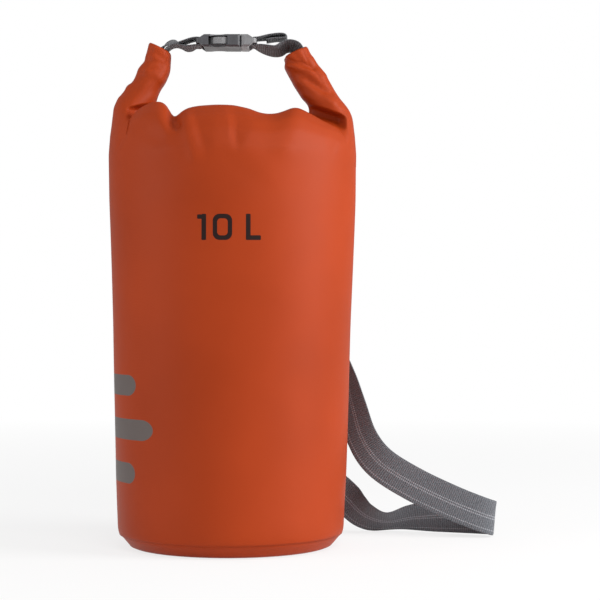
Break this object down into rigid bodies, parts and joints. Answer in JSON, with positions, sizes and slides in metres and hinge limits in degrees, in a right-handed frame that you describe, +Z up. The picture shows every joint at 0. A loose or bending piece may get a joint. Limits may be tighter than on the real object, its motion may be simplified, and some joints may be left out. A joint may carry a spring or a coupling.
{
  "type": "dry bag",
  "caption": "Roll-top waterproof dry bag, rolled shut and clipped into a carrying loop by a side-release buckle, with a shoulder strap on rings at its back.",
  "frame": {"origin": "Centre of the base's flat underside, on the floor.", "axes": "+Z up along the bag; the front faces -Y; the rolled mouth and the buckle run along X; the shoulder strap lies to +X."},
  "size_m": [0.3338, 0.2016, 0.4307],
  "materials": {
    "body_tube": "PVC-coated woven polyester, welded",
    "base_panel": "PVC-coated woven polyester, welded",
    "mouth_roll": "rolled mouth of the coated fabric",
    "mouth_stiffener": "stiffening strip",
    "roll_end_left": "rolled mouth of the coated fabric",
    "roll_end_right": "rolled mouth of the coated fabric",
    "webbing_left": "woven webbing",
    "webbing_right": "woven webbing",
    "buckle_socket": "moulded",
    "buckle_plug": "moulded",
    "latch_arm_front": "moulded",
    "latch_arm_back": "moulded",
    "anchor_patch_upper": "coated fabric patch",
    "anchor_patch_lower": "coated fabric patch",
    "anchor_tab_upper": "woven webbing",
    "anchor_tab_lower": "woven webbing",
    "strap_loop_upper": "woven webbing",
    "strap_loop_lower": "woven webbing",
    "shoulder_strap": "woven webbing",
    "d_ring_upper": "moulded",
    "d_ring_lower": "moulded",
    "hook_upper": "moulded",
    "hook_lower": "moulded",
    "hook_gate_upper": "moulded",
    "hook_gate_lower": "moulded",
    "hook_eye_upper": "moulded",
    "hook_eye_lower": "moulded",
    "strap_slider": "moulded"
  },
  "bodies": {
    "bag": {"body_tube": "body_tube", "base_panel": "base_panel", "mouth_roll": "mouth_roll", "mouth_stiffener": "mouth_stiffener", "roll_end_left": "roll_end_left", "webbing_left": "webbing_left", "buckle_socket": "buckle_socket", "anchor_patch_upper": "anchor_patch_upper", "anchor_tab_upper": "anchor_tab_upper", "anchor_patch_lower": "anchor_patch_lower", "anchor_tab_lower": "anchor_tab_lower", "shoulder_strap": "shoulder_strap"},
    "right_arm": {"roll_end_right": "roll_end_right", "webbing_right": "webbing_right", "buckle_plug": "buckle_plug"},
    "latch_front": {"latch_arm_front": "latch_arm_front"},
    "latch_back": {"latch_arm_back": "latch_arm_back"},
    "ring_upper": {"d_ring_upper": "d_ring_upper", "hook_upper": "hook_upper"},
    "gate_upper": {"hook_gate_upper": "hook_gate_upper"},
    "eye_upper": {"hook_eye_upper": "hook_eye_upper", "strap_loop_upper": "strap_loop_upper"},
    "ring_lower": {"d_ring_lower": "d_ring_lower", "hook_lower": "hook_lower"},
    "gate_lower": {"hook_gate_lower": "hook_gate_lower"},
    "eye_lower": {"hook_eye_lower": "hook_eye_lower", "strap_loop_lower": "strap_loop_lower"},
    "slider": {"strap_slider": "strap_slider"}
  },
  "joints": [
    {"name": "buckle_release", "type": "slide", "parent": "bag", "child": "right_arm", "axis": [1, 0, 0], "range_m": [0, 0.03], "deforming": ["latch_arm_front", "latch_arm_back"]},
    {"name": "latch_press_front", "type": "hinge", "parent": "right_arm", "child": "latch_front", "pos_m": [0.0098, -0.0093, 0.425], "axis": [0, 0, -1], "range_deg": [0, 12], "stiffness_Nm_per_rad": 0.05},
    {"name": "latch_press_back", "type": "hinge", "parent": "right_arm", "child": "latch_back", "pos_m": [0.0098, 0.0093, 0.425], "axis": [0, 0, 1], "range_deg": [0, 12], "stiffness_Nm_per_rad": 0.05},
    {"name": "ring_swing_upper", "type": "hinge", "parent": "bag", "child": "ring_upper", "pos_m": [0, 0.09076, 0.3], "axis": [1, 0, 0], "range_deg": [0, 60]},
    {"name": "gate_open_upper", "type": "hinge", "parent": "ring_upper", "child": "gate_upper", "pos_m": [0, 0.10157, 0.27831], "axis": [1, 0, 0], "range_deg": [0, 20], "stiffness_Nm_per_rad": 0.002},
    {"name": "hook_swivel_upper", "type": "hinge", "parent": "ring_upper", "child": "eye_upper", "pos_m": [0, 0.09667, 0.27231], "axis": [0, 0, 1], "range_deg": [-25, 25]},
    {"name": "ring_swing_lower", "type": "hinge", "parent": "bag", "child": "ring_lower", "pos_m": [0.012, 0.09976, 0.04], "axis": [0, 0, 1], "range_deg": [0, 60]},
    {"name": "gate_open_lower", "type": "hinge", "parent": "ring_lower", "child": "gate_lower", "pos_m": [0.035, 0.10466, 0.04], "axis": [0, 0, 1], "range_deg": [0, 20], "stiffness_Nm_per_rad": 0.002},
    {"name": "hook_swivel_lower", "type": "hinge", "parent": "ring_lower", "child": "eye_lower", "pos_m": [0.041, 0.09976, 0.04], "axis": [1, 0, 0], "range_deg": [-25, 25]},
    {"name": "slider_slide", "type": "slide", "parent": "bag", "child": "slider", "axis": [0, 0, 1], "range_m": [-0.006, 0.012]}
  ]
}
